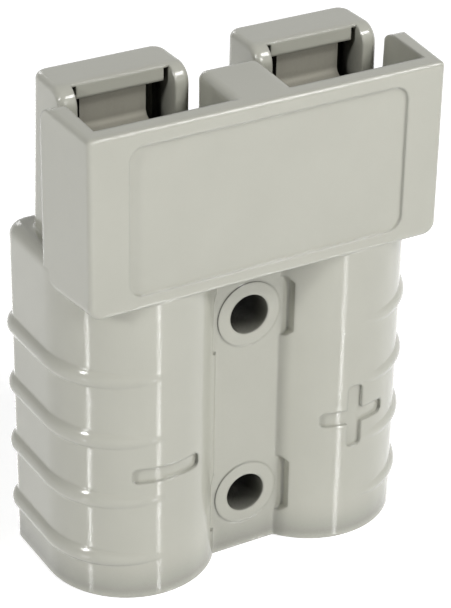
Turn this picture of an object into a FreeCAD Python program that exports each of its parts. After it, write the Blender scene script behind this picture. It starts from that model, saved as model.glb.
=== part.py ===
import FreeCAD, Part
import math
import os
from FreeCAD import Vector
import Sketcher

os.makedirs("parts", exist_ok=True)
doc = FreeCAD.newDocument("Connector")
sizes = doc.addObject("Spreadsheet::Sheet", "Sizes")


class Dim:
    """A length known both as a number and as the spreadsheet expression that gives it."""

    def __init__(self, value, text):
        self.value = value
        self.text = text

    def join(self, other, value, sign):
        return Dim(value, "(%s %s %s)" % (self.text, sign, as_dim(other).text))

    def __add__(self, other):
        return self.join(other, self.value + as_dim(other).value, "+")

    def __sub__(self, other):
        return self.join(other, self.value - as_dim(other).value, "-")

    def __mul__(self, other):
        return self.join(other, self.value * as_dim(other).value, "*")

    def __truediv__(self, other):
        return self.join(other, self.value / as_dim(other).value, "/")

    def __neg__(self):
        return Dim(-self.value, "(0 - %s)" % self.text)


def as_dim(number):
    return number if isinstance(number, Dim) else Dim(float(number), repr(float(number)))


def root(dim):
    return Dim(math.sqrt(dim.value), "sqrt(%s)" % dim.text)


row_count = 0


def size(alias, value, note):
    """Write one driving size into the spreadsheet and return it."""
    global row_count
    row_count += 1
    sizes.set("A%d" % row_count, note)
    sizes.set("B%d" % row_count, str(value))
    sizes.setAlias("B%d" % row_count, alias)
    return Dim(float(value), "Sizes." + alias)


# Housing body: two round barrels side by side, flat at the back, joined by a web.
overall_length = size("overall_length", 47.95, "cable end to the tops of the towers")
barrel_radius = size("barrel_radius", 8.1, "radius of the two barrels")
barrel_gap = size("barrel_gap", 3.35, "between the two barrels where they are closest")
back_corner = size("back_corner", 2.0, "corner radius at the back of the body")
web_half_depth = size("web_half_depth", 4.85, "middle plane to each face of the web")
back_slot_half = size("back_slot_half", 3.2, "half width of the slot in the back")
tower_height = size("tower_height", 14.75, "shoulder and mouth floor to the tops of the towers")
shoulder_round = size("shoulder_round", 1.2, "rounding of the shoulder edge")
foot_round = size("foot_round", 0.25, "rounding of the cable end edge")

# Shroud in the front half: label plate, side walls and centre wall.
plate_inset = size("plate_inset", 0.45, "barrel's outer side to the side of the plate")
plate_proud = size("plate_proud", 0.1, "plate face in front of the barrels")
plate_overlap = size("plate_overlap", 2.7, "mouth floor to the lower edge of the plate")
shroud_step = size("shroud_step", 0.7, "tops of the towers to the top of the plate")
wall = size("wall", 1.55, "thickness of the plate, side walls and tower walls")
shroud_flare = size("shroud_flare", 0.42, "the shroud is this much larger all round at its back")
mouth_draft = size("mouth_draft", 0.3, "a mouth's side wall is this much further out at the top")
centre_half_width = size("centre_half_width", 3.0, "half width of the wall between the mouths")
centre_round = size("centre_round", 0.8, "rounding up the centre wall's back corners and along its top")
wall_end_round = size("wall_end_round", 0.5, "rounding of the side walls' back corners")
side_top_round = size("side_top_round", 1.8, "rounding at the back end of a side wall's top")
centre_top_round = size("centre_top_round", 0.9, "rounding at the back end of the centre wall's top")
plate_low_corner = size("plate_low_corner", 1.2, "corner radius at the plate's lower corners")
shroud_round = size("shroud_round", 0.45, "rounding of the shroud's outer top edges")
plate_round = size("plate_round", 0.4, "rounding round the face of the plate")

# Towers in the back half, which go into the mouths of a second connector.
mating_gap = size("mating_gap", 0.1, "each half stays this far off the middle plane")
side_clearance = size("side_clearance", 0.1, "tower to the partner's side wall")
centre_clearance = size("centre_clearance", 0.3, "tower to the partner's centre wall")
tower_setback = size("tower_setback", 2.35, "back face to the back of a tower")
tower_draft = size("tower_draft", 1.2, "draft of a tower's outer and back faces, in degrees")
tower_corner = size("tower_corner", 1.3, "corner radius at the back of a tower")
tower_round = size("tower_round", 0.6, "rounding of a tower's back top edge")
tower_front_round = size("tower_front_round", 1.8, "rounding at the front of a tower's top")
lip_height = size("lip_height", 1.45, "height of the lip over the mouth of a tower")
lip_thickness = size("lip_thickness", 0.85, "lip in front of the contact tip")
lip_slit = size("lip_slit", 0.5, "slit between each end of the lip and the tower wall")
lip_slit_depth = size("lip_slit_depth", 1.6, "depth of that slit from the front of the lip")
lip_skin = size("lip_skin", 0.3, "skin left over that slit")
tip_pocket = size("tip_pocket", 0.75, "depth of the pocket over the contact tip")

# Mounting holes through the web, with room for screw heads.
hole_diameter = size("hole_diameter", 3.9, "mounting hole")
high_hole_depth = size("high_hole_depth", 5.4, "lower edge of the plate to the upper hole")
low_hole = size("low_hole", 6.05, "cable end to the lower hole")
head_ring_diameter = size("head_ring_diameter", 6.4, "raised ring under a screw head")
head_ring_height = size("head_ring_height", 0.12, "height of that ring")
head_room_half_width = size("head_room_half_width", 4.2, "half width of the screw head room")
head_room_half_height = size("head_room_half_height", 3.0, "half height of the screw head room")
head_room_chamfer = size("head_room_chamfer", 0.5, "chamfer at the corners of that room")

# Grip ribs that wrap the outer sides and run out on the front.
rib_proud = size("rib_proud", 0.5, "height of a rib over the side")
rib_radius = size("rib_radius", 1.15, "radius of the rib's round back")
rib_pitch = size("rib_pitch", 6.25, "between ribs")
low_rib = size("low_rib", 4.35, "cable end to the lowest rib")
rib_run_out = size("rib_run_out", 106.0, "turn of a rib round the front, in degrees")

# Recessed label panel and engraved polarity marks.
panel_side_margin = size("panel_side_margin", 3.75, "panel to the side of the plate")
panel_low_margin = size("panel_low_margin", 1.3, "panel to the lower edge of the plate")
panel_high_margin = size("panel_high_margin", 1.45, "panel to the top of the plate")
panel_corner = size("panel_corner", 1.4, "corner radius of the panel")
panel_depth = size("panel_depth", 0.25, "depth of the panel")
mark_height = size("mark_height", 13.2, "cable end to the middle of the marks")
mark_length = size("mark_length", 6.6, "length of each bar")
mark_width = size("mark_width", 1.5, "width of each bar")
mark_corner = size("mark_corner", 0.5, "corner radius of the bars")
mark_depth = size("mark_depth", 0.35, "depth of the engraving")

# Cable entry, contact and spring.
entry_diameter = size("entry_diameter", 11.2, "cable entry")
entry_depth = size("entry_depth", 12.5, "depth of the cable entry")
barrel_diameter = size("barrel_diameter", 7.4, "outside of the crimp barrel")
crimp_bore = size("crimp_bore", 5.8, "bore for the bare conductor")
crimp_depth = size("crimp_depth", 11.5, "depth of that bore")
barrel_length = size("barrel_length", 13.5, "length of the crimp barrel")
bore_clearance = size("bore_clearance", 0.2, "round the crimp barrel and the tongue")
tongue_width = size("tongue_width", 6.4, "width of the contact tongue")
tongue_thickness = size("tongue_thickness", 1.5, "thickness of the contact tongue")
tip_length = size("tip_length", 3.75, "straight tip above the tongue's bend")
joggle_height = size("joggle_height", 1.7, "height of the bend")
tip_room = size("tip_room", 0.55, "contact tip to the tower's back wall")
tip_clearance = size("tip_clearance", 0.1, "contact tip to the lip")
spring_thickness = size("spring_thickness", 0.35, "thickness of the leaf spring")
spring_width = size("spring_width", 5.8, "width of the leaf spring")
spring_foot = size("spring_foot", 2.4, "length of the spring's foot below the floor")
spring_rise = size("spring_rise", 0.5, "floor to the start of the spring's bow")
spring_overlap = size("spring_overlap", 0.7, "top of the bow above the start of the tongue's bend")

floor_height = overall_length - tower_height
shroud_top = overall_length - shroud_step
plate_bottom = floor_height - plate_overlap
pole = barrel_radius + barrel_gap / 2
outer_side = pole + barrel_radius
web_edge = pole - root(barrel_radius * barrel_radius - web_half_depth * web_half_depth)
plate_front = barrel_radius + plate_proud
plate_inside = plate_front - wall
body_back = plate_front
plate_half_width = outer_side - plate_inset
shroud_depth = plate_front - mating_gap
shroud_slope = shroud_flare / shroud_depth
flare_half_width = plate_half_width + shroud_flare
flare_top = shroud_top + shroud_flare
side_wall_inside = plate_half_width - wall
tower_back = body_back - tower_setback
tower_outer = side_wall_inside - side_clearance
tower_inner = centre_half_width + centre_clearance
tower_outer_inside = tower_outer - wall
tower_inner_inside = tower_inner + wall
tower_back_inside = tower_back - wall
lip_underside = overall_length - lip_height
tongue_front = tower_back_inside - tip_room - tongue_thickness
lip_setback = tongue_front - tip_clearance - lip_thickness
tip_end = lip_underside + tip_pocket - tip_clearance
joggle_end = tip_end - tip_length
joggle_start = joggle_end - joggle_height
barrel_base = entry_depth + as_dim(0.5)
barrel_top = barrel_base + barrel_length
high_hole = plate_bottom - high_hole_depth
panel_half_width = plate_half_width - panel_side_margin
panel_bottom = plate_bottom + panel_low_margin
panel_top = shroud_top - panel_high_margin


def origin_plane(body, role):
    return [f for f in body.Origin.OriginFeatures if f.Role == role][0]


def new_body(name, label):
    body = doc.addObject("PartDesign::Body", name)
    body.Label = label
    body.Placement = FreeCAD.Placement(Vector(0, 0, 0), FreeCAD.Rotation())
    doc.recompute()
    return body


def new_sketch(body, name, role, offset=None):
    """Sketch on an origin plane of its body; offset runs along the plane's normal."""
    sketch = doc.addObject("Sketcher::SketchObject", name)
    body.addObject(sketch)
    sketch.AttachmentSupport = [(origin_plane(body, role), "")]
    sketch.MapMode = "FlatFace"
    if offset is not None:
        sketch.setExpression("AttachmentOffset.Base.z", offset.text)
    return sketch


def fix_point(sketch, geo, pos, point):
    """Dimension one point from the sketch origin in both directions."""
    for kind, dim in (("DistanceX", point[0]), ("DistanceY", point[1])):
        dim = as_dim(dim)
        if dim.value == 0.0:
            axis = -2 if kind == "DistanceX" else -1
            sketch.addConstraint(Sketcher.Constraint("PointOnObject", geo, pos, axis))
            continue
        index = sketch.addConstraint(Sketcher.Constraint(kind, -1, 1, geo, pos, dim.value))
        sketch.setExpression("Constraints[%d]" % index, dim.text)


def fix_radius(sketch, geo, radius):
    index = sketch.addConstraint(Sketcher.Constraint("Radius", geo, radius.value))
    sketch.setExpression("Constraints[%d]" % index, radius.text)


def draw_outline(sketch, points, arcs=None, mirror=False):
    """Closed outline through the points; arcs maps a segment to (radius, turn), turn +1 is to the left."""
    arcs = arcs or {}
    flip = -1 if mirror else 1
    points = [(-as_dim(x) if mirror else as_dim(x), as_dim(y)) for x, y in points]
    ends = []
    for i, start in enumerate(points):
        stop = points[(i + 1) % len(points)]
        a = Vector(start[0].value, start[1].value, 0)
        b = Vector(stop[0].value, stop[1].value, 0)
        if i not in arcs:
            geo = sketch.addGeometry(Part.LineSegment(a, b), False)
            ends.append((geo, 1, 2))
            continue
        radius, turn = arcs[i]
        turn = turn * flip
        chord = b - a
        rise = math.sqrt(max(radius.value ** 2 - (chord.Length / 2) ** 2, 0.0))
        left = Vector(-chord.y, chord.x, 0).normalize()
        centre = (a + b) * 0.5 + left * (rise * turn)
        first, last = (a, b) if turn > 0 else (b, a)
        start_angle = math.atan2(first.y - centre.y, first.x - centre.x)
        stop_angle = math.atan2(last.y - centre.y, last.x - centre.x)
        circle = Part.Circle(centre, Vector(0, 0, 1), radius.value)
        geo = sketch.addGeometry(Part.ArcOfCircle(circle, start_angle, stop_angle), False)
        ends.append((geo, 1, 2) if turn > 0 else (geo, 2, 1))
    for i, (geo, head, tail) in enumerate(ends):
        following = ends[(i + 1) % len(ends)]
        sketch.addConstraint(Sketcher.Constraint("Coincident", geo, tail, following[0], following[1]))
        fix_point(sketch, geo, head, points[i])
        if i in arcs:
            fix_radius(sketch, geo, arcs[i][0])


def draw_box(sketch, x0, x1, y0, y1, mirror=False):
    draw_outline(sketch, [(x0, y0), (x1, y0), (x1, y1), (x0, y1)], mirror=mirror)


def draw_circle(sketch, x, y, radius):
    x, y = as_dim(x), as_dim(y)
    geo = sketch.addGeometry(Part.Circle(Vector(x.value, y.value, 0), Vector(0, 0, 1), radius.value), False)
    fix_point(sketch, geo, 3, (x, y))
    fix_radius(sketch, geo, radius)
    return geo


def extrude(body, kind, name, sketch, length, reverse=False):
    """Pad or pocket a sketch, and make sure that the body's volume really changes."""
    doc.recompute()
    before = body.Shape.Volume if body.Tip else 0.0
    feature = doc.addObject("PartDesign::" + kind, name)
    body.addObject(feature)
    feature.Profile = sketch
    feature.Length = length.value
    feature.setExpression("Length", length.text)
    feature.Reversed = reverse
    sketch.Visibility = False
    doc.recompute()
    check_step(body, feature, before, kind)
    return feature


def check_step(body, feature, before, kind):
    change = body.Shape.Volume - before
    if "Invalid" in feature.State or "Error" in feature.State:
        raise RuntimeError(feature.Name + " is not valid")
    if kind in ("Pad", "Revolution") and change < 1e-4:
        raise RuntimeError(feature.Name + " adds nothing")
    if kind in ("Pocket", "Groove") and change > -1e-4:
        raise RuntimeError(feature.Name + " cuts nothing")
    print("%-22s %9.3f" % (feature.Name, change))


def revolve(body, name, sketch, degrees, reverse=False):
    """Add a revolution of a sketch about its first construction line."""
    doc.recompute()
    before = body.Shape.Volume
    feature = doc.addObject("PartDesign::Revolution", name)
    body.addObject(feature)
    feature.Profile = sketch
    feature.ReferenceAxis = (sketch, ["Axis0"])
    feature.Angle = degrees.value
    feature.setExpression("Angle", degrees.text)
    feature.Reversed = reverse
    doc.recompute()
    check_step(body, feature, before, "Revolution")
    return feature


def round_edges(body, name, base, radius, wanted):
    """Fillet the edges of a feature for which wanted(centre, box) is true."""
    names = []
    for i, edge in enumerate(base.Shape.Edges):
        if wanted(edge.CenterOfMass, edge.BoundBox):
            names.append("Edge%d" % (i + 1))
    if not names:
        raise RuntimeError(name + " finds no edge")
    feature = doc.addObject("PartDesign::Fillet", name)
    body.addObject(feature)
    feature.Base = (base, names)
    feature.Radius = radius.value
    feature.setExpression("Radius", radius.text)
    doc.recompute()
    if "Invalid" in feature.State or feature.Shape.isNull() or not feature.Shape.isValid():
        raise RuntimeError(name + " fails on " + ",".join(names))
    print("%-22s %d edges" % (name, len(names)))
    return feature


def join_body(body, name, tool, kind="Fuse"):
    """Fuse another body into this one, or cut it out."""
    feature = doc.addObject("PartDesign::Boolean", name)
    body.addObject(feature)
    feature.Type = kind
    feature.setObjects([tool])
    doc.recompute()
    if "Invalid" in feature.State or not feature.Shape.isValid():
        raise RuntimeError(name + " fails")
    return feature


def near(a, b):
    return abs(a - b) < 0.01


# The housing's body: barrels, flat back, web between them.
housing = new_body("Housing", "housing")
plan = new_sketch(housing, "BodyPlan", "XY_Plane")
right_half = [(web_edge, -web_half_depth), (outer_side, 0), (outer_side, body_back - back_corner),
              (outer_side - back_corner, body_back), (back_slot_half, body_back),
              (back_slot_half, web_half_depth)]
left_half = [(-x, y) for x, y in reversed([(as_dim(x), y) for x, y in right_half])]
bends = {0: (barrel_radius, 1), 2: (back_corner, 1), 8: (back_corner, 1), 10: (barrel_radius, 1)}
draw_outline(plan, right_half + left_half, bends)
body_block = extrude(housing, "Pad", "BodyBlock", plan, floor_height)

top = floor_height.value
shoulder = round_edges(
    housing, "ShoulderRound", body_block, shoulder_round,
    lambda c, b: near(b.ZMin, top) and near(b.ZMax, top) and abs(c.x) > back_slot_half.value + 0.1)
foot = round_edges(housing, "FootRound", shoulder, foot_round,
                   lambda c, b: near(b.ZMin, 0) and near(b.ZMax, 0))

# The shroud block in front of the middle plane, rounded all round its face before it joins the body.
shroud_block = new_body("ShroudBlock", "shroud_block")
shroud_plan = new_sketch(shroud_block, "ShroudFront", "XZ_Plane", mating_gap)
draw_box(shroud_plan, -flare_half_width, flare_half_width, plate_bottom - shroud_flare, flare_top)
shroud = extrude(shroud_block, "Pad", "ShroudPad", shroud_plan, shroud_depth)
shroud.TaperAngle = -math.degrees(math.atan(shroud_slope.value))
shroud.setExpression("TaperAngle", "atan(%s) * (-1)" % shroud_slope.text)
doc.recompute()
top_corners = round_edges(shroud_block, "ShroudTopCorners", shroud, shroud_round,
                          lambda c, b: b.YLength > 5 and c.z > floor_height.value)
low_corners = round_edges(shroud_block, "ShroudLowCorners", top_corners, plate_low_corner,
                          lambda c, b: b.YLength > 5 and c.z < floor_height.value)
round_edges(shroud_block, "PlateRound", low_corners, plate_round,
            lambda c, b: near(b.YMin, -plate_front.value) and near(b.YMax, -plate_front.value))
join_body(housing, "JoinShroud", shroud_block)

# Two mouths, open at the top and towards the back, that take the partner's towers.
mouths = new_sketch(housing, "MouthOutline", "XZ_Plane", mating_gap)
above = shroud_top + as_dim(1)
for mirror in (False, True):
    draw_outline(mouths, [(centre_half_width, floor_height), (side_wall_inside, floor_height),
                          (side_wall_inside + mouth_draft, above), (centre_half_width, above)], mirror=mirror)
mouth_depth = plate_inside - mating_gap
mouth_cut = extrude(housing, "Pocket", "Mouths", mouths, mouth_depth, True)
behind, side = -mating_gap.value, centre_half_width.value
centre_top = round_edges(housing, "CentreTopRound", mouth_cut, centre_top_round,
                         lambda c, b: near(c.y, behind) and near(c.x, 0) and near(c.z, flare_top.value))
centre_wall = round_edges(housing, "CentreWallRound", centre_top, centre_round,
                          lambda c, b: near(abs(c.x), side) and near(b.XLength, 0)
                          and c.z > floor_height.value + 0.1 and c.y > -plate_inside.value + 0.1)
round_edges(housing, "WallEndRound", centre_wall, wall_end_round,
            lambda c, b: near(c.y, behind) and near(b.YLength, 0) and b.ZLength > 5
            and side_wall_inside.value - 0.1 < abs(c.x) < side_wall_inside.value + mouth_draft.value)

# The side walls' tops fall away in a large round at the back end.
between = (centre_half_width + side_wall_inside) / 2
for name, start in (("RightTopRound", between), ("LeftTopRound", -outer_side)):
    profile = new_sketch(housing, name + "Profile", "YZ_Plane", start)
    turn = -mating_gap - side_top_round
    crest = flare_top - shroud_slope * side_top_round
    draw_outline(profile, [(-mating_gap, crest - side_top_round), (0, crest - side_top_round), (0, above),
                           (turn, above), (turn, crest)], {4: (side_top_round, -1)})
    extrude(housing, "Pocket", name, profile, outer_side - between, True)

# Towers behind the middle plane, with draft on the faces that slide into the partner.
for name, start, mirror in (("TowerRight", tower_inner, False), ("TowerLeft", -tower_outer, True)):
    side_view = new_sketch(housing, name + "Side", "YZ_Plane", start)
    draw_outline(
        side_view,
        [(mating_gap, floor_height - as_dim(0.5)), (tower_back, floor_height - as_dim(0.5)),
         (tower_back, overall_length), (tower_front_round + mating_gap, overall_length),
         (mating_gap, overall_length - tower_front_round)],
        {3: (tower_front_round, 1)})
    tower = extrude(housing, "Pad", name, side_view, tower_outer - tower_inner)
top_face, drafted = None, []
for i, face in enumerate(tower.Shape.Faces):
    box, centre = face.BoundBox, face.CenterOfMass
    flat = box.ZLength > 10 and box.ZMax > floor_height.value + 5
    if near(box.ZMin, overall_length.value) and top_face is None:
        top_face = "Face%d" % (i + 1)
    if flat and (near(box.YMin, tower_back.value) or (near(abs(centre.x), tower_outer.value)
                                                     and near(box.XLength, 0))):
        drafted.append("Face%d" % (i + 1))
draft = doc.addObject("PartDesign::Draft", "TowerDraft")
housing.addObject(draft)
draft.Base = (tower, drafted)
draft.NeutralPlane = (tower, [top_face])
draft.Angle = tower_draft.value
draft.setExpression("Angle", tower_draft.text)
draft.Reversed = True
doc.recompute()
print("TowerDraft", drafted, top_face, draft.State, round(draft.Shape.Volume - tower.Shape.Volume, 2))
tower_corners = round_edges(
    housing, "TowerCorners", draft, tower_corner,
    lambda c, b: b.YMin > tower_back.value - 0.01 and b.ZLength > 10 and near(b.ZMax, overall_length.value))
round_edges(housing, "TowerTopRound", tower_corners, tower_round,
            lambda c, b: near(b.ZMin, overall_length.value) and near(b.YMin, tower_back.value)
            and b.XLength > 5)

# Hollow of each tower, open to the front: under the lip, in front of it, and a pocket for the contact tip.
hollow = new_sketch(housing, "TowerHollow", "XZ_Plane", -tower_back_inside)
for mirror in (False, True):
    draw_box(hollow, tower_inner_inside, tower_outer_inside, floor_height, lip_underside, mirror)
extrude(housing, "Pocket", "TowerHollows", hollow, tower_back_inside, True)
lip_front = new_sketch(housing, "LipFront", "XZ_Plane", -lip_setback)
slits = new_sketch(housing, "LipSlits", "XZ_Plane", -lip_setback - lip_slit_depth)
for mirror in (False, True):
    draw_box(lip_front, tower_inner_inside, tower_outer_inside, lip_underside - as_dim(0.1),
             overall_length + as_dim(1), mirror)
    for edge in (tower_inner_inside, tower_outer_inside - lip_slit):
        draw_box(slits, edge, edge + lip_slit, lip_underside - as_dim(0.1),
                 overall_length - lip_skin, mirror)
extrude(housing, "Pocket", "LipSetback", lip_front, lip_setback, True)
extrude(housing, "Pocket", "LipSlitCuts", slits, lip_slit_depth, True)
tip_plan = new_sketch(housing, "TipPocketPlan", "XY_Plane", lip_underside + tip_pocket)
for mirror in (False, True):
    draw_box(tip_plan, tower_inner_inside, tower_outer_inside, lip_setback + lip_thickness,
             tower_back_inside, mirror)
extrude(housing, "Pocket", "TipPockets", tip_plan, tip_pocket + as_dim(0.1))

# Mounting holes through the web, rings round them and room for screw heads, on both faces.
hole_heights = (low_hole, high_hole)
for name, start, reverse in (("Front", -web_half_depth, False), ("Back", web_half_depth, True)):
    room = new_sketch(housing, "HeadRoom" + name, "XZ_Plane", -start)
    wide, tall, cut = head_room_half_width, head_room_half_height, head_room_chamfer
    for level in hole_heights:
        draw_outline(room, [
            (-wide, level - tall + cut), (cut - wide, level - tall), (wide - cut, level - tall),
            (wide, level - tall + cut), (wide, level + tall - cut), (wide - cut, level + tall),
            (cut - wide, level + tall), (-wide, level + tall - cut)])
    extrude(housing, "Pocket", "HeadRooms" + name, room, barrel_radius, not reverse)
    ring = new_sketch(housing, "Ring" + name, "XZ_Plane", -start)
    for level in hole_heights:
        draw_circle(ring, 0, level, head_ring_diameter / 2)
    extrude(housing, "Pad", "Rings" + name, ring, head_ring_height, reverse)
holes = new_sketch(housing, "HolePlan", "XZ_Plane", barrel_radius)
for level in hole_heights:
    draw_circle(holes, 0, level, hole_diameter / 2)
extrude(housing, "Pocket", "MountingHoles", holes, barrel_radius * 2)

# Cable entries, bores for the crimp barrels, and slots that let the tongues and spring feet through.
entries = new_sketch(housing, "EntryPlan", "XY_Plane")
bores = new_sketch(housing, "BorePlan", "XY_Plane", entry_depth)
slots = new_sketch(housing, "SlotPlan", "XY_Plane", entry_depth)
feet = new_sketch(housing, "SpringFootPlan", "XY_Plane", floor_height - spring_foot)
tongue_room = tongue_width / 2 + bore_clearance
for mirror in (False, True):
    centre = -pole if mirror else pole
    draw_circle(entries, centre, 0, entry_diameter / 2)
    draw_circle(bores, centre, 0, barrel_diameter / 2 + bore_clearance)
    draw_box(slots, pole - tongue_room, pole + tongue_room, -bore_clearance,
             tongue_front + tongue_thickness + bore_clearance, mirror)
    draw_box(feet, pole - spring_width / 2 - bore_clearance, pole + spring_width / 2 + bore_clearance,
             tongue_front + tongue_thickness, tower_back_inside, mirror)
extrude(housing, "Pocket", "CableEntries", entries, entry_depth, True)
extrude(housing, "Pocket", "CrimpBores", bores, barrel_top - entry_depth, True)
extrude(housing, "Pocket", "TongueSlots", slots, floor_height - entry_depth + as_dim(0.3), True)
extrude(housing, "Pocket", "SpringFeet", feet, spring_foot + as_dim(0.3), True)

# Grip ribs: round beads along the flat sides, bent round the back corners and cut flush with the back.
# Round the front their centre lies further out than the barrel's, so that they run out into it.
rib_centre = pole + rib_proud
rib_line = rib_centre + barrel_radius - rib_radius
side_end = body_back - back_corner
back_axis = outer_side - back_corner
beads = new_sketch(housing, "RibSides", "XZ_Plane")
rib_heights = [low_rib + rib_pitch * i for i in range(4)]
for centre in (rib_line, -rib_line):
    for level in rib_heights:
        draw_circle(beads, centre, level, rib_radius)
extrude(housing, "Pad", "RibBeads", beads, side_end, True)
for name, centre, axis, plane, turn, reverse in (
        ("RibsFrontRight", rib_line, rib_centre, None, rib_run_out, True),
        ("RibsFrontLeft", -rib_line, -rib_centre, None, rib_run_out, False),
        ("RibsBackRight", rib_line, back_axis, -side_end, Dim(90.0, "90"), False),
        ("RibsBackLeft", -rib_line, -back_axis, -side_end, Dim(90.0, "90"), True)):
    section = new_sketch(housing, name + "Section", "XZ_Plane", plane)
    line = section.addGeometry(Part.LineSegment(Vector(axis.value, 0, 0), Vector(axis.value, 10, 0)), True)
    fix_point(section, line, 1, (axis, 0))
    fix_point(section, line, 2, (axis, floor_height))
    for level in rib_heights:
        draw_circle(section, centre, level, rib_radius)
    revolve(housing, name, section, turn, reverse)
behind = new_sketch(housing, "BehindBack", "XZ_Plane", -body_back)
draw_box(behind, -outer_side - as_dim(1), outer_side + as_dim(1), 0, floor_height)
extrude(housing, "Pocket", "RibEndsFlush", behind, as_dim(1))

# Bare label panel, a shallow recess in the plate.
panel = new_sketch(housing, "PanelOutline", "XZ_Plane", plate_front)
wide, low, high = panel_half_width, panel_bottom, panel_top
draw_outline(panel, [
    (panel_corner - wide, low), (wide - panel_corner, low), (wide, low + panel_corner),
    (wide, high - panel_corner), (wide - panel_corner, high), (panel_corner - wide, high),
    (-wide, high - panel_corner), (-wide, low + panel_corner)],
    {1: (panel_corner, 1), 3: (panel_corner, 1), 5: (panel_corner, 1), 7: (panel_corner, 1)})
extrude(housing, "Pocket", "LabelPanel", panel, panel_depth)

# Polarity marks: bars that keep only what lies outside a smaller barrel, cut out of the housing.
marks = new_body("Marks", "marks")


def draw_bar(sketch, x, half_long, half_high):
    r = mark_corner
    x0, x1, z0, z1 = x - half_long, x + half_long, mark_height - half_high, mark_height + half_high
    draw_outline(sketch, [(x0 + r, z0), (x1 - r, z0), (x1, z0 + r), (x1, z1 - r),
                          (x1 - r, z1), (x0 + r, z1), (x0, z1 - r), (x0, z0 + r)],
                 {1: (r, 1), 3: (r, 1), 5: (r, 1), 7: (r, 1)})


level_bars = new_sketch(marks, "LevelBars", "XZ_Plane", plate_front)
draw_bar(level_bars, pole, mark_length / 2, mark_width / 2)
draw_bar(level_bars, -pole, mark_length / 2, mark_width / 2)
extrude(marks, "Pad", "LevelBarPads", level_bars, barrel_radius / 2, True)
upright_bar = new_sketch(marks, "UprightBar", "XZ_Plane", plate_front)
draw_bar(upright_bar, pole, mark_width / 2, mark_length / 2)
extrude(marks, "Pad", "UprightBarPad", upright_bar, barrel_radius / 2, True)
core = new_sketch(marks, "MarkFloor", "XY_Plane")
draw_circle(core, pole, 0, barrel_radius - mark_depth)
draw_circle(core, -pole, 0, barrel_radius - mark_depth)
extrude(marks, "Pocket", "MarkFloors", core, floor_height, True)
join_body(housing, "CutMarks", marks, "Cut")


def make_contact(name, label, x):
    """Silver-plated contact: crimp barrel for the conductor, tongue that bends back under the lip."""
    body = new_body(name, label)
    plan = new_sketch(body, name + "BarrelPlan", "XY_Plane", barrel_base)
    draw_circle(plan, x, 0, barrel_diameter / 2)
    extrude(body, "Pad", name + "Barrel", plan, barrel_length)
    bend = tongue_thickness / 2
    tip = tongue_front + tongue_thickness
    side_view = new_sketch(body, name + "TongueSide", "YZ_Plane", x - tongue_width / 2)
    draw_outline(side_view, [
        (0, barrel_top - as_dim(1)), (tongue_thickness, barrel_top - as_dim(1)),
        (tongue_thickness, joggle_start - bend), (tip, joggle_end - bend), (tip, tip_end),
        (tongue_front, tip_end), (tongue_front, joggle_end), (0, joggle_start)])
    tongue = extrude(body, "Pad", name + "Tongue", side_view, tongue_width)
    low, high = (joggle_start - bend).value, joggle_end.value
    bent = round_edges(body, name + "Bends", tongue, tongue_thickness / 2,
                       lambda c, b: b.XLength > 5 and low - 0.1 < c.z < high + 0.1)
    round_edges(body, name + "Tip", bent, tongue_thickness / 3,
                lambda c, b: b.XLength > 5 and near(c.z, tip_end.value))
    bore = new_sketch(body, name + "CrimpPlan", "XY_Plane", barrel_base)
    draw_circle(bore, x, 0, crimp_bore / 2)
    extrude(body, "Pocket", name + "CrimpBore", bore, crimp_depth, True)
    return body


def make_spring(name, label, x):
    """Leaf spring that stands in its slot behind the tongue and bows forward against it."""
    body = new_body(name, label)
    rear, front = tower_back_inside, tower_back_inside - spring_thickness
    foot, bow_low = floor_height - spring_foot, floor_height + spring_rise
    bow_high = joggle_start + spring_overlap
    chord, rise = bow_high - bow_low, front - tongue_thickness
    bow = (chord * chord / 4 + rise * rise) / (rise * 2)
    side_view = new_sketch(body, name + "Side", "YZ_Plane", x - spring_width / 2)
    draw_outline(side_view, [(front, foot), (rear, foot), (rear, bow_low), (rear, bow_high),
                             (front, bow_high), (front, bow_low)], {2: (bow, -1), 4: (bow, 1)})
    extrude(body, "Pad", name + "Leaf", side_view, spring_width)
    return body


nodes = [housing,
         make_contact("ContactPositive", "contact_positive", pole),
         make_contact("ContactNegative", "contact_negative", -pole),
         make_spring("SpringPositive", "spring_positive", pole),
         make_spring("SpringNegative", "spring_negative", -pole)]

doc.recompute()
for item in doc.Objects:
    if "Invalid" in item.State or "Error" in item.State:
        raise RuntimeError(item.Name + " is not valid")
for node in nodes:
    if node.Shape.isNull() or not node.Shape.isValid():
        raise RuntimeError(node.Label + " has no valid shape")
    if len(node.Shape.Solids) != 1:
        raise RuntimeError(node.Label + " is not one solid")
    node.Shape.exportStep("parts/%s.step" % node.Label)
    print(node.Label, round(node.Shape.Volume, 2), node.Shape.BoundBox)
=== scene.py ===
import bpy
from mathutils import Matrix, Vector

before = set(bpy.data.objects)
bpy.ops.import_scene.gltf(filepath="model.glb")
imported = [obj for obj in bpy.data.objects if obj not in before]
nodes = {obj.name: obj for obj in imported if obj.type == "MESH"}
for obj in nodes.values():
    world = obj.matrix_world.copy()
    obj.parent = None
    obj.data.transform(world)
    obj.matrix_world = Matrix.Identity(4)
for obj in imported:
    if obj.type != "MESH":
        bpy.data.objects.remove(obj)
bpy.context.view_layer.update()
MM = 0.001

# Node building

def new_material(name):
    material = bpy.data.materials.new(name)
    material.use_nodes = True
    tree = material.node_tree
    return material, tree, tree.nodes["Principled BSDF"]


def add_node(tree, kind, **inputs):
    """Add a node and set the inputs named in the call; an underscore stands for a space."""
    node = tree.nodes.new(kind)
    for key, value in inputs.items():
        node.inputs[key.replace("_", " ")].default_value = value
    return node


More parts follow.
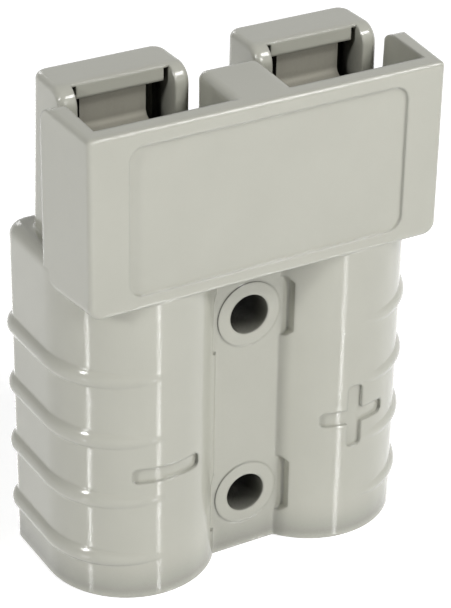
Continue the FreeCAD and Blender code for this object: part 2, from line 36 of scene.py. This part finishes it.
def mix_colours(tree, factor, first, second):
    """Blend from the first colour to the second; each is a fixed colour or another node's output."""
    mix = tree.nodes.new("ShaderNodeMix")
    mix.data_type = "RGBA"
    tree.links.new(factor, mix.inputs["Factor"])
    for key, colour in (("A", first), ("B", second)):
        if isinstance(colour, tuple):
            mix.inputs[key].default_value = colour
        else:
            tree.links.new(colour, mix.inputs[key])
    return mix.outputs["Result"]


def remap(tree, value, source, target):
    """Carry a value over from the source range to the target range, and hold it at both ends."""
    node = add_node(tree, "ShaderNodeMapRange", From_Min=source[0], From_Max=source[1],
                    To_Min=target[0], To_Max=target[1])
    tree.links.new(value, node.inputs["Value"])
    return node.outputs["Result"]


def seen_rays(tree):
    """1 for rays that see the backdrop directly, in metal or through glass, 0 for rays that light things."""
    rays = tree.nodes.new("ShaderNodeLightPath")
    seen = rays.outputs["Is Camera Ray"]
    for name in ("Is Glossy Ray", "Is Transmission Ray"):
        either = tree.nodes.new("ShaderNodeMath")
        either.operation = "MAXIMUM"
        tree.links.new(seen, either.inputs[0])
        tree.links.new(rays.outputs[name], either.inputs[1])
        seen = either.outputs[0]
    return seen


# Materials

# Reaches of the painted shade in recesses, and the radius of the softened edges in the shading
DEEP_RECESS = 6.0 * MM
SMALL_STEP = 1.0 * MM
SOFT_EDGE = 0.4 * MM


def paint_shade_in_recesses(tree, colour, painted_shade_colour):
    """Painted shade: darken a colour in the deep mouths and grooves, where shade falls, but not along marks
    and steps under a millimetre.
    """
    depth = tree.nodes.new("ShaderNodeMath")
    depth.operation = "DIVIDE"
    depth.use_clamp = True
    for reach, socket in ((DEEP_RECESS, depth.inputs[0]), (SMALL_STEP, depth.inputs[1])):
        recess = add_node(tree, "ShaderNodeAmbientOcclusion", Distance=reach)
        recess.samples = 8
        tree.links.new(recess.outputs["AO"], socket)
    openness = remap(tree, depth.outputs[0], (0.12, 0.82), (0.0, 1.0))
    return mix_colours(tree, openness, painted_shade_colour, colour)


def raise_bumps(tree, height, strength, depth, normal):
    """Lay the relief of a noise over a normal."""
    bump = add_node(tree, "ShaderNodeBump", Strength=strength, Distance=depth)
    tree.links.new(height, bump.inputs["Height"])
    tree.links.new(normal, bump.inputs["Normal"])
    return bump.outputs["Normal"]


def moulded_plastic():
    """Warm grey moulding: faint flow marks in the colour and gloss, and the skin's slight waviness."""
    material, tree, shader = new_material("grey_moulding")
    place = tree.nodes.new("ShaderNodeTexCoord").outputs["Object"]
    clouds = add_node(tree, "ShaderNodeTexNoise", Scale=140.0, Detail=3.0, Roughness=0.55)
    grain = add_node(tree, "ShaderNodeTexNoise", Scale=2600.0, Detail=2.0, Roughness=0.6)
    for noise in (clouds, grain):
        tree.links.new(place, noise.inputs["Vector"])
    darker, lighter = (0.480, 0.478, 0.411, 1), (0.530, 0.528, 0.458, 1)
    colour = mix_colours(tree, clouds.outputs["Fac"], darker, lighter)
    # Painted shade: the colour darkens towards near black in the deep mouths and grooves
    colour = paint_shade_in_recesses(tree, colour, painted_shade_colour=(0.020, 0.019, 0.015, 1))
    tree.links.new(colour, shader.inputs["Base Color"])
    gloss = remap(tree, clouds.outputs["Fac"], (0.2, 0.8), (0.10, 0.14))
    tree.links.new(gloss, shader.inputs["Roughness"])
    edges = add_node(tree, "ShaderNodeBevel", Radius=SOFT_EDGE)
    edges.samples = 6
    skin = raise_bumps(tree, clouds.outputs["Fac"], 0.2, 0.2 * MM, edges.outputs["Normal"])
    skin = raise_bumps(tree, grain.outputs["Fac"], 0.12, 0.04 * MM, skin)
    tree.links.new(skin, shader.inputs["Normal"])
    shader.inputs["IOR"].default_value = 1.55
    return material


def plated_metal(name, dark, bright, roughness):
    """Satin metal with fine lines along the part, and painted shade that darkens its colour where it lies
    deep in the moulding.
    """
    material, tree, shader = new_material(name)
    place = tree.nodes.new("ShaderNodeTexCoord").outputs["Object"]
    stretch = add_node(tree, "ShaderNodeMapping", Scale=(1.0, 1.0, 0.08))
    streaks = add_node(tree, "ShaderNodeTexNoise", Scale=3200.0, Detail=3.0, Roughness=0.6)
    tree.links.new(place, stretch.inputs["Vector"])
    tree.links.new(stretch.outputs["Vector"], streaks.inputs["Vector"])
    colour = mix_colours(tree, streaks.outputs["Fac"], dark, bright)
    # Painted shade: the metal's colour darkens where it lies deep in the mouths
    colour = paint_shade_in_recesses(tree, colour, painted_shade_colour=(0.012, 0.011, 0.009, 1))
    tree.links.new(colour, shader.inputs["Base Color"])
    gloss = remap(tree, streaks.outputs["Fac"], (0.3, 0.7), roughness)
    tree.links.new(gloss, shader.inputs["Roughness"])
    shader.inputs["Metallic"].default_value = 0.5
    shader.inputs["Specular IOR Level"].default_value = 0.3
    return material


def floor_material(lift):
    """Pale floor that takes the shadow; the lift brings its lit part up to the white of the backdrop.

    It looks matt, and only the light it throws up at the object is glossy, as from a polished table.
    """
    material, tree, shader = new_material("floor")
    shader.inputs["Base Color"].default_value = (0.8, 0.8, 0.8, 1)
    shader.inputs["Roughness"].default_value = 0.06
    shader.inputs["IOR"].default_value = 2.2
    straight = tree.nodes.new("ShaderNodeLightPath").outputs["Is Camera Ray"]
    polish = remap(tree, straight, (0.0, 1.0), (1.0, 0.0))
    tree.links.new(polish, shader.inputs["Specular IOR Level"])
    shader.inputs["Emission Color"].default_value = (1, 1, 1, 1)
    glow = remap(tree, seen_rays(tree), (0.0, 1.0), (0.0, lift))
    tree.links.new(glow, shader.inputs["Emission Strength"])
    return material


plastic = moulded_plastic()
silver = plated_metal("silver_plating", dark=(0.37, 0.355, 0.30, 1), bright=(0.45, 0.435, 0.37, 1),
                      roughness=(0.66, 0.76))
steel = plated_metal("spring_strip", dark=(0.50, 0.50, 0.50, 1), bright=(0.60, 0.60, 0.61, 1),
                     roughness=(0.22, 0.3))

for node_name, material in (("housing", plastic), ("contact_negative", silver), ("contact_positive", silver),
                            ("spring_negative", steel), ("spring_positive", steel)):
    mesh = nodes[node_name].data
    mesh.materials.clear()
    mesh.materials.append(material)


# Floor

FLOOR_SIZE = 3.0
FLOOR_DROP = 0.02 * MM

bpy.ops.mesh.primitive_plane_add(size=FLOOR_SIZE, location=(0, 0, -FLOOR_DROP))
floor = bpy.context.object
floor.name = "floor"
floor.data.materials.append(floor_material(lift=0.72))


# World: dim where it lights things, white where it is seen

AMBIENT = 0.04

world = bpy.data.worlds.new("studio")
bpy.context.scene.world = world
world.use_nodes = True
sky = world.node_tree
background = sky.nodes["Background"]
background.inputs["Color"].default_value = (1, 1, 1, 1)
backdrop = remap(sky, seen_rays(sky), (0.0, 1.0), (AMBIENT, 1.0))
sky.links.new(backdrop, background.inputs["Strength"])


# Lamps: the key and the side lamp are tall and narrow, and the floor mirrors them onto the round barrels
# as upright streaks; the crest lamp lights the upper edges, and the back lamp the other side

AIM = Vector((0, 0, 24 * MM))


def area_lamp(name, place_mm, width_mm, height_mm, watts):
    lamp_data = bpy.data.lights.new(name, "AREA")
    lamp_data.shape = "RECTANGLE"
    lamp_data.size = width_mm * MM
    lamp_data.size_y = height_mm * MM
    lamp_data.energy = watts
    lamp = bpy.data.objects.new(name, lamp_data)
    lamp.location = Vector(place_mm) * MM
    lamp.rotation_mode = "QUATERNION"
    lamp.rotation_quaternion = (AIM - lamp.location).to_track_quat("-Z", "Y")
    bpy.context.scene.collection.objects.link(lamp)


area_lamp("key", place_mm=(95, -430, 252), width_mm=28, height_mm=115, watts=0.86)
area_lamp("side", place_mm=(-436, -98, 256), width_mm=30, height_mm=100, watts=0.84)
area_lamp("crest", place_mm=(205, -245, 343), width_mm=120, height_mm=70, watts=0.66)
area_lamp("back", place_mm=(20, 450, 230), width_mm=150, height_mm=150, watts=0.3)


# Camera at the photograph's place and turn

CAMERA_PLACE_MM = (-93.49, -159.41, 127.40)
CAMERA_RIGHT = Vector((0.86586, -0.500039, 0.015716))
CAMERA_FORWARD = Vector((0.442785, 0.751342, -0.489313))
CAMERA_LENS = 137.63

lens = bpy.data.cameras.new("camera")
lens.sensor_width = 36.0
lens.lens = CAMERA_LENS
lens.clip_start = 0.01
lens.clip_end = 5.0
camera = bpy.data.objects.new("camera", lens)
camera_up = CAMERA_RIGHT.cross(CAMERA_FORWARD)
turn = Matrix((CAMERA_RIGHT, camera_up, -CAMERA_FORWARD)).transposed()
camera.matrix_world = Matrix.Translation(Vector(CAMERA_PLACE_MM) * MM) @ turn.to_4x4()
bpy.context.scene.collection.objects.link(camera)
bpy.context.scene.camera = camera

bpy.context.scene.view_settings.view_transform = "Standard"
